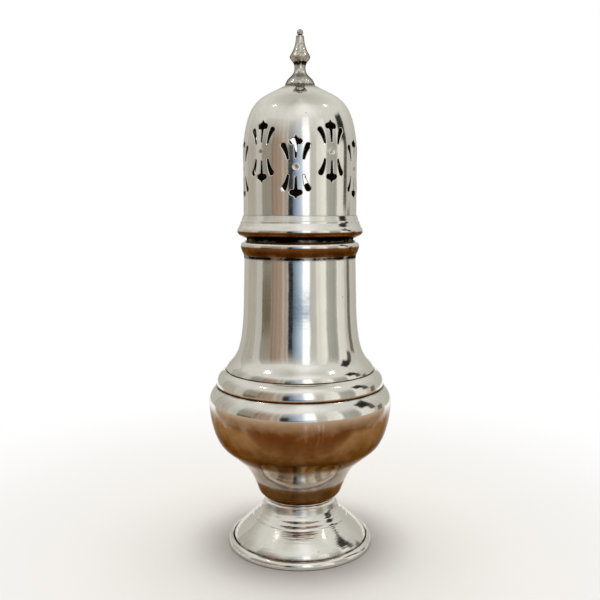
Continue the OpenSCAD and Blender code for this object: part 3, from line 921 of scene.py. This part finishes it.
def make_dome():
    """Pierced dome. A fifth of the pierced band is cut flat, then wrapped five times round."""
    shell = Shell()
    holes = [(middle, filled(loop, 0.45, closed=True)) for middle in MOTIFS for loop in motif_openings()]
    points, triangles, rim_places = cut_band(holes)
    starts = [FIRST + turn * SECTOR for turn in range(SECTORS)]
    for start in starts:
        add_outer_skin(shell, points, triangles, start)
    for start in starts:
        add_inner_skin(shell, points, triangles, rim_places, holes, start)
    for start in starts:
        for middle, loop in holes:
            add_opening_wall(shell, middle, loop, start)
    for line in plain_lines():
        last_tag, last_row = None, None
        for tag, (r, z), (nr, nz) in line:
            angles = [FIRST + w for w in round_angles(TURNS)]
            row = [shell.shared_point(tag, swung(w, r, z), swung(w, nr, nz)) for w in angles]
            if tag == last_tag:
                shell.strip(last_row, row, tag == "in")
            last_tag, last_row = tag, row
    return shell.piece("pierced_dome", SHEET_FINISH)


def make_finial():
    """Cast finial: bell foot, waist, knop, spike and ball, with a blind hole for the stud."""
    h = TIP_Z - CROWN_Z
    ball_r, ball_start, hole_r, stud_in = 1.1, -53.1, 1.27, 3.2
    foot_h, waist, knop, spike_r = 0.5, (1.95, 6.3), (3.6, 10.0), 1.4
    ball_z = h - ball_r
    spike_top = ball_z - 0.8 * ball_r - 0.3
    bell, bulb, spike = waist[1] - foot_h, knop[1] - waist[1], spike_top - knop[1]
    outline = [(0, stud_in), (hole_r, stud_in), (hole_r, 0), (FINIAL_R, 0)]
    outline += curve((FINIAL_R, foot_h), (FINIAL_R - 0.8, foot_h + 0.5 * bell),
                     (waist[0], foot_h + 0.47 * bell), waist)
    outline += curve(waist, (waist[0], waist[1] + 0.6 * bulb), (knop[0], knop[1] - 0.28 * bulb), knop)[1:]
    outline += curve(knop, (knop[0] - 0.42, knop[1] + 0.2 * spike), (spike_r + 0.1, knop[1] + 0.36 * spike),
                     (spike_r, spike_top))[1:]
    outline += arc((0, ball_z), ball_r, ball_start, 89, 20) + [(0, h)]
    return moulding("cast_finial", outline, CROWN_Z, 0.15, 0.4, CAST_FINISH, turns=96)


# Each piece with the CAD node it stands for, its body and its finish slot
PIECES = [
    (make_foot, "foot", "body", "polished_silver"),
    (make_foot_rim, "foot_rim", "body", "polished_silver"),
    (make_waist_ring, "waist_ring", "body", "polished_silver"),
    (make_bowl, "bowl", "body", "polished_silver"),
    (make_shoulder_ring, "shoulder_ring", "body", "polished_silver"),
    (make_neck, "neck", "body", "polished_silver"),
    (make_neck_ring, "neck_ring", "body", "polished_silver"),
    (make_neck_bezel, "neck_bezel", "body", "worn_silver"),
    (make_cover_sleeve, "cover_sleeve", "sleeve", "worn_silver"),
    (make_cover_rim, "cover_rim", "cover", "polished_silver"),
    (make_dome, "dome", "cover", "polished_silver"),
    (make_finial, "finial", "cover", "cast_silver"),
]
for make, node, body, finish_slot in PIECES:
    piece = make()
    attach(piece, body)
    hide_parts(node)

# The fixing inside the dome keeps its CAD shapes
FIXING = (("finial_stud", TURNED_BRASS), ("finial_nut", TURNED_BRASS), ("finial_washer", WORN_SILVER))
for node, finish in FIXING:
    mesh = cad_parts[node].data
    mesh.materials.clear()
    mesh.materials.append(finish)


# Stage: pale floor, white surround, and a light tent with plain cards for the metal to mirror

VIEW_TURN = math.radians(4)
EYE_DISTANCE, EYE_Z, LOOK_DOWN = 0.271, 0.1229, 6.88


def toward(degrees, distance):
    """A floor place at that angle to the right of the camera's side of the object."""
    w = math.radians(degrees) + VIEW_TURN
    return (distance * math.sin(w), -distance * math.cos(w))


def card_material(name, near, far, streak, light=1):
    """A card's even tone, from near to far along its tone attribute, with soft upright streaks.

    Its fade attribute lets it run out softly at its edges. light is how bright it glows."""
    streak_wide, streak_tall = 24, 700
    material, tree = new_material(name)
    streaks = drawn_noise(tree, object_place(tree), streak_wide, streak_tall, 3)
    level = ranged(tree, streaks, 0.3, 0.7, light * (1 - streak), light * (1 + streak))
    colour = mixed(tree, attribute(tree, "tone"), linear(near), linear(far))
    glow = add(tree, "ShaderNodeEmission", {"Color": colour, "Strength": level}).outputs["Emission"]
    clear = add(tree, "ShaderNodeBsdfTransparent").outputs["BSDF"]
    show(tree, mixed_shader(tree, attribute(tree, "fade"), clear, glow))
    return material


def stage_sheet(name, rows, fades, tones, material):
    """A stage surface from rows of points, with a fade and a tone for each point.

    It shows in polished metal and nowhere else."""
    count = len(rows[0])
    mesh = bpy.data.meshes.new(name)
    faces = [(r * count + k, r * count + k + 1, (r + 1) * count + k + 1, (r + 1) * count + k)
             for r in range(len(rows) - 1) for k in range(count - 1)]
    mesh.from_pydata([p for row in rows for p in row], [], faces)
    point_values(mesh, "fade", [v for row in fades for v in row])
    point_values(mesh, "tone", [v for row in tones for v in row])
    mesh.materials.append(material)
    sheet = into_scene(name, mesh)
    sheet.visible_camera = False
    sheet.visible_diffuse = False
    sheet.visible_shadow = False
    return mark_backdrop(sheet)


def upright_card(name, start, end, left, right=None, levels=((0, 1), (0.23, 1), (0.42, 0)),
                 soft=2, streak=0.1, distance=0.42, light=1):
    """A curved upright card between two angles, as seen from the object.

    levels are the heights at which its fade is set. soft is how many degrees its sides fade over."""
    inner = spread(start + soft, end - soft, max(1, math.ceil((end - start - 2 * soft) / 4)))
    angles = [start] + inner + [end]
    across = [0] + [1] * len(inner) + [0]
    rows = [[toward(w, distance) + (z,) for w in angles] for z, _ in levels]
    fades = [[a * f for a in across] for _, f in levels]
    tones = [[ramp(w, start, end) for w in angles]] * len(levels)
    return stage_sheet(name, rows, fades, tones, card_material(name, left, right or left, streak, light))


def hump(value, middle, width):
    return math.exp(-((value - middle) / width) ** 2)


def roof_tone(azimuth, rise):
    """Brightness of the tent: a bright front to the right, a ring half way up, greyer overhead."""
    front = hump(azimuth, 13, 28) * hump(rise, 58, 20)
    shade = hump(azimuth, -32, 18) * hump(rise, 68, 16)
    return 0.2 + 0.33 * hump(rise, 44, 22) + 0.45 * front - 0.12 * shade


def light_tent():
    """Walls on all sides but the back, and a roof over everything."""
    wall_r, wall_h, roof_h, open_back, middle_z, pole_r = 0.46, 0.26, 0.6, 20, 0.1, 0.0005
    material = card_material("tent_cloth", "#AAA79D", "#FFFFFB", 0.07)
    walls = [(wall_r, z) for z in spread(0, wall_h, 4)]
    roof = [(wall_r * c + pole_r, wall_h + (roof_h - wall_h) * s) for c, s in map(way, spread(0, 90, 16))]
    wall_angles = spread(open_back - 180, 180 - open_back, 80)
    roof_angles = spread(-180, 180, 96)
    for name, line, angles in (("tent_walls", walls, wall_angles), ("tent_roof", roof, roof_angles)):
        rows = [[toward(a, r) + (z,) for a in angles] for r, z in line]
        tones = [[roof_tone(a, math.degrees(math.atan2(z - middle_z, r))) for a in angles] for r, z in line]
        stage_sheet(name, rows, [[1] * len(angles)] * len(line), tones, material)


def low_card(name, start, end, near, far, strength=1, soft=4):
    """Card lying on the floor between two angles, wholly outside the picture.

    The picture's edges cross the floor at frame_near in front, and at frame_side beside the
    object, less half_view for each metre towards the camera."""
    frame_near, frame_side, half_view, far_r, edge, lift = 0.048, 0.115, 0.396, 0.45, 0.04, 0.001
    tone_from, tone_to, square_on = 0.06, 0.32, 1.5
    angles = spread(start, end, math.ceil((end - start) / 2.5))
    inner = []
    for a in angles:
        w = math.radians(abs(a))
        side = frame_side / max(0.05, math.sin(w) + half_view * math.cos(w))
        front = frame_near / math.cos(w) if w < square_on else side
        inner.append(min(side, front, far_r - edge))
    across = [strength * min(1, (a - start) / soft, (end - a) / soft) for a in angles]
    rows, fades, tones = [], [], []
    for out, fade in ((0, 0), (0.2 * edge, 0.45), (0.5 * edge, 0.8), (edge, 1), (3 * edge, 1), (far_r, 1)):
        row = [min(r + out, far_r) for r in inner]
        rows.append([toward(a, r) + (lift,) for a, r in zip(angles, row)])
        fades.append([fade * k for k in across])
        tones.append([ramp(r, tone_from, tone_to) for r in row])
    return stage_sheet(name, rows, fades, tones, card_material(name, near, far, 0.04))


light_tent()
low_card("card_brown", -125, 125, "#A67C4E", "#BDAD9B")
low_card("card_sheen", 0, 26, "#D8BCA4", "#DCCBBA", strength=0.7, soft=8)
upright_card("card_grey", -128, -95, "#B2AEA2", levels=((0, 1), (0.16, 1), (0.34, 0)), streak=0.14)
upright_card("card_olive", -80, -57, "#6A6450", "#7A6C58", streak=0.3,
             levels=((0, 1), (0.06, 1), (0.1, 0.65), (0.23, 0.6), (0.42, 0)))
upright_card("card_rose", -59, -33, "#8E7A6A", "#A89484", streak=0.3)
upright_card("card_blush", -34, -24, "#BBAA9A", "#9C9084", streak=0.2)
upright_card("card_black", -24, -12, "#2C2C2E", "#24282E", streak=0.2,
             levels=((0, 1), (0.15, 1), (0.25, 0.5), (0.46, 0)))
upright_card("card_blue", -14, 6, "#5E7086", "#CFE0F2", distance=0.41,
             levels=((0, 1), (0.16, 1), (0.25, 0.6), (0.46, 0)))
upright_card("card_white", 3, 20, "#F4FAFF", "#FFFFFF", soft=3, streak=0.04, distance=0.4, light=1.25,
             levels=((0, 1), (0.3, 1), (0.55, 0)))
upright_card("card_blue_low", -17, 21, "#2E3E56", "#A8BED8", distance=0.39,
             levels=((0.012, 0), (0.03, 1), (0.052, 1), (0.075, 0)))
upright_card("card_cream", 30, 53, "#DDDBD2", "#F3F1E8", levels=((0, 1), (0.4, 1), (0.5, 0)))
upright_card("card_stone", 53, 77, "#A9A89F", "#A2A198", levels=((0, 1), (0.2, 1), (0.36, 0)), streak=0.15)
upright_card("card_pale", 76, 100, "#EAE8DE", "#D8D6CC")
upright_card("card_dark", 106, 118, "#6A645A", "#787062", levels=((0, 1), (0.115, 1), (0.13, 0)), streak=0.2)
upright_card("card_dark_mid", 93, 105, "#4E4A42", streak=0.3, distance=0.385,
             levels=((0.118, 0), (0.13, 1), (0.24, 1), (0.25, 0)))
upright_card("card_dark_high", 83, 104, "#242422", streak=0.2, distance=0.38,
             levels=((0.21, 0), (0.24, 1), (0.36, 1), (0.39, 0)))


def white_when_seen(tree):
    """1 for rays from the camera and for what metal or glass mirrors, 0 for light on the object."""
    rays = add(tree, "ShaderNodeLightPath").outputs
    seen = maths(tree, "ADD", rays["Is Camera Ray"], rays["Is Glossy Ray"], clamp=True)
    return maths(tree, "ADD", seen, rays["Is Transmission Ray"], clamp=True)


def pale_floor():
    """Matt white floor that fades into the white surround far from the object."""
    fade_from, fade_to, radius, sides = 0.04, 0.22, 2.5, 96
    material, tree = new_material("matt_white_floor")
    away = add(tree, "ShaderNodeVectorMath", {"operation": "LENGTH", 0: object_place(tree)})
    far = add(tree, "ShaderNodeMapRange", {
        "From Min": fade_from, "From Max": fade_to, "interpolation_type": "SMOOTHSTEP",
        "Value": away.outputs["Value"]})
    matt = add(tree, "ShaderNodeBsdfDiffuse", {"Color": linear("#F0EDE8")})
    white = add(tree, "ShaderNodeEmission", {"Color": WHITE, "Strength": 1})
    share = maths(tree, "MULTIPLY", far.outputs["Result"], white_when_seen(tree))
    show(tree, mixed_shader(tree, share, matt.outputs["BSDF"], white.outputs["Emission"]))
    mesh = bpy.data.meshes.new("pale_floor")
    mesh.from_pydata([swung(w, radius, 0) for w in round_angles(sides)], [], [tuple(range(sides))])
    mesh.materials.append(material)
    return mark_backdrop(into_scene("pale_floor", mesh))


def white_surround():
    """White where it is seen, and a dimmer even light on the object."""
    world = bpy.data.worlds.new("white_surround")
    bpy.context.scene.world = world
    world.use_nodes = True
    tree = world.node_tree
    tree.nodes.clear()
    level = ranged(tree, white_when_seen(tree), 0, 1, 0.34, 1)
    white = add(tree, "ShaderNodeBackground", {"Color": WHITE, "Strength": level})
    add(tree, "ShaderNodeOutputWorld", {"Surface": white.outputs["Background"]})


def lamp(name, place, size, watts, code):
    """A round lamp that shines at the middle of the object."""
    aim = Vector((0, 0, 0.09))
    data = bpy.data.lights.new(name, "AREA")
    data.shape = "DISK"
    data.size = size
    data.energy = watts
    data.color = linear(code)[:3]
    thing = into_scene(name, data)
    thing.location = place
    thing.rotation_euler = (aim - Vector(place)).to_track_quat("-Z", "Y").to_euler()
    return thing


pale_floor()
white_surround()
lamp("softbox_overhead", (0, 0.03, 0.62), size=0.36, watts=2.8, code="#FFFFFF").visible_glossy = False
SMALL_LAMP_R, SMALL_LAMP_Z = 0.3, 0.53
for side, angle in (("left", -82), ("right", 82)):
    place = toward(angle, SMALL_LAMP_R) + (SMALL_LAMP_Z,)
    lamp("small_lamp_" + side, place, size=0.007, watts=0.06, code="#FFF3DC")

camera = bpy.data.cameras.new("view")
camera.lens = 45.16
camera.sensor_width = 36
camera.clip_start = 0.01
eye = into_scene("view", camera)
eye.location = toward(0, EYE_DISTANCE) + (EYE_Z,)
eye.rotation_euler = (math.radians(90 - LOOK_DOWN), 0, VIEW_TURN)
bpy.context.scene.camera = eye
bpy.context.scene.view_settings.view_transform = "Standard"
